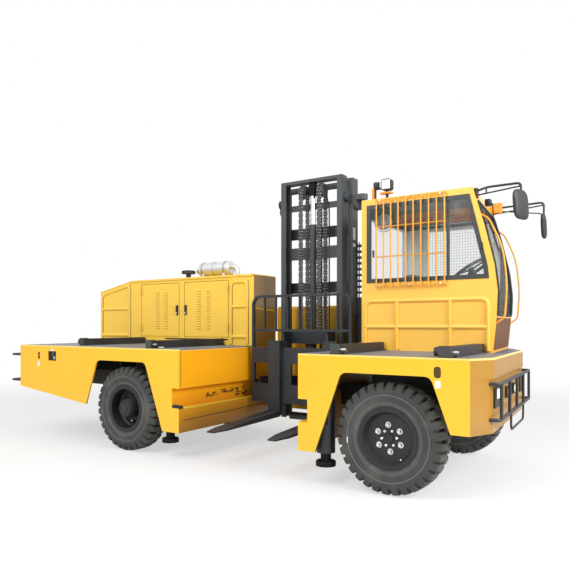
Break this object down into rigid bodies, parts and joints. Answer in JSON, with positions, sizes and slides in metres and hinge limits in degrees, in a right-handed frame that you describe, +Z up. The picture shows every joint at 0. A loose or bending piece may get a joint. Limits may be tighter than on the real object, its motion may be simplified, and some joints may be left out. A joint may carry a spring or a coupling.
{
  "type": "side loader forklift",
  "caption": "Side loader forklift: reach mast in a well between two load decks, forks facing sideways, enclosed cab, engine hood, stabiliser legs and four wheels.",
  "frame": {"origin": "on the ground under the middle of the overall box", "axes": "+X forward towards the cab end, -Y the load side, +Z up"},
  "size_m": [5.108, 1.92, 2.6],
  "materials": {
    "yellow_paint": "satin",
    "frame_paint": "satin",
    "black_paint": "satin",
    "mast_paint": "satin",
    "rim_paint": "satin",
    "deck_plate": "satin",
    "axle_iron": "rough",
    "tyre_rubber": "matte",
    "window_glass": "clear",
    "chrome_rod": "polished",
    "muffler_steel": "satin",
    "chain_steel": "satin",
    "black_plastic": "matte",
    "seat_cover": "matte"
  },
  "bodies": {
    "base": {"rear_body": "yellow_paint", "front_body": "yellow_paint", "backbone": "yellow_paint", "rear_deck": "deck_plate", "front_deck": "deck_plate", "bolsters": "black_paint", "chassis": "black_paint", "nose_lamps": "black_plastic", "front_guard": "black_paint", "rear_guard": "black_paint", "hood": "yellow_paint", "engine_block": "axle_iron", "muffler": "muffler_steel", "intake_cap": "black_plastic", "cab_shell": "yellow_paint", "window_frame": "frame_paint", "grab_rods": "yellow_paint", "cab_glass": "window_glass", "windshield": "window_glass", "window_guard": "yellow_paint", "seat": "seat_cover", "console": "black_plastic", "mirrors": "black_plastic", "work_lamp": "black_plastic", "rear_axle": "axle_iron", "front_axle": "axle_iron", "leg_barrels": "black_paint"},
    "hood_door_rear": {"hood_door_rear": "yellow_paint"},
    "hood_door_front": {"hood_door_front": "yellow_paint"},
    "cab_door": {"cab_door": "yellow_paint", "door_glass": "window_glass"},
    "wheel_rear_near": {"tyre_rear_near": "tyre_rubber", "rim_rear_near": "rim_paint"},
    "wheel_rear_far": {"tyre_rear_far": "tyre_rubber", "rim_rear_far": "rim_paint"},
    "wheel_front_near": {"tyre_front_near": "tyre_rubber", "rim_front_near": "rim_paint"},
    "wheel_front_far": {"tyre_front_far": "tyre_rubber", "rim_front_far": "rim_paint"},
    "knuckle_near": {"knuckle_near": "axle_iron"},
    "knuckle_far": {"knuckle_far": "axle_iron"},
    "leg_rear": {"leg_rear": "chrome_rod"},
    "leg_front": {"leg_front": "chrome_rod"},
    "reach": {"reach_frame": "mast_paint", "outer_mast": "mast_paint", "lift_barrel": "mast_paint", "hose_chain": "black_plastic"},
    "inner": {"inner_mast": "mast_paint", "lift_rod": "chrome_rod", "sheaves": "chain_steel", "chains": "chain_steel"},
    "carriage": {"carriage": "mast_paint", "backrest": "mast_paint", "forks": "mast_paint"}
  },
  "joints": [
    {"name": "rear_near_spin", "type": "hinge", "parent": "base", "child": "wheel_rear_near", "pos_m": [-0.801, -0.805, 0.395], "axis": [0, 1, 0], "continuous": true},
    {"name": "rear_far_spin", "type": "hinge", "parent": "base", "child": "wheel_rear_far", "pos_m": [-0.801, 0.805, 0.395], "axis": [0, 1, 0], "continuous": true},
    {"name": "steer_near", "type": "hinge", "parent": "base", "child": "knuckle_near", "pos_m": [1.819, -0.64, 0.395], "axis": [0, 0, 1], "range_deg": [-30, 30]},
    {"name": "steer_far", "type": "hinge", "parent": "base", "child": "knuckle_far", "pos_m": [1.819, 0.64, 0.395], "axis": [0, 0, 1], "range_deg": [-30, 30]},
    {"name": "front_near_spin", "type": "hinge", "parent": "knuckle_near", "child": "wheel_front_near", "pos_m": [1.819, -0.805, 0.395], "axis": [0, 1, 0], "continuous": true},
    {"name": "front_far_spin", "type": "hinge", "parent": "knuckle_far", "child": "wheel_front_far", "pos_m": [1.819, 0.805, 0.395], "axis": [0, 1, 0], "continuous": true},
    {"name": "hood_rear_hinge", "type": "hinge", "parent": "base", "child": "hood_door_rear", "pos_m": [-1.684, 0.1497, 1.35], "axis": [0, 0, -1], "range_deg": [0, 100]},
    {"name": "hood_front_hinge", "type": "hinge", "parent": "base", "child": "hood_door_front", "pos_m": [-0.398, 0.1497, 1.35], "axis": [0, 0, 1], "range_deg": [0, 100]},
    {"name": "cab_door_hinge", "type": "hinge", "parent": "base", "child": "cab_door", "pos_m": [1.427, 0.9383, 1.58], "axis": [0, 0, 1], "range_deg": [0, 80]},
    {"name": "leg_rear_slide", "type": "slide", "parent": "base", "child": "leg_rear", "axis": [0, 0, -1], "range_m": [0, 0.13]},
    {"name": "leg_front_slide", "type": "slide", "parent": "base", "child": "leg_front", "axis": [0, 0, -1], "range_m": [0, 0.13]},
    {"name": "reach_slide", "type": "slide", "parent": "base", "child": "reach", "axis": [0, -1, 0], "range_m": [0, 1.05]},
    {"name": "lift_slide", "type": "slide", "parent": "reach", "child": "inner", "axis": [0, 0, 1], "range_m": [0, 1.8]},
    {"name": "carriage_slide", "type": "slide", "parent": "inner", "child": "carriage", "axis": [0, 0, 1], "range_m": [0, 1.8]}
  ],
  "couplings": [
    {"joint": "steer_far", "follows": "steer_near", "ratio": 1},
    {"joint": "carriage_slide", "follows": "lift_slide", "ratio": 1}
  ]
}
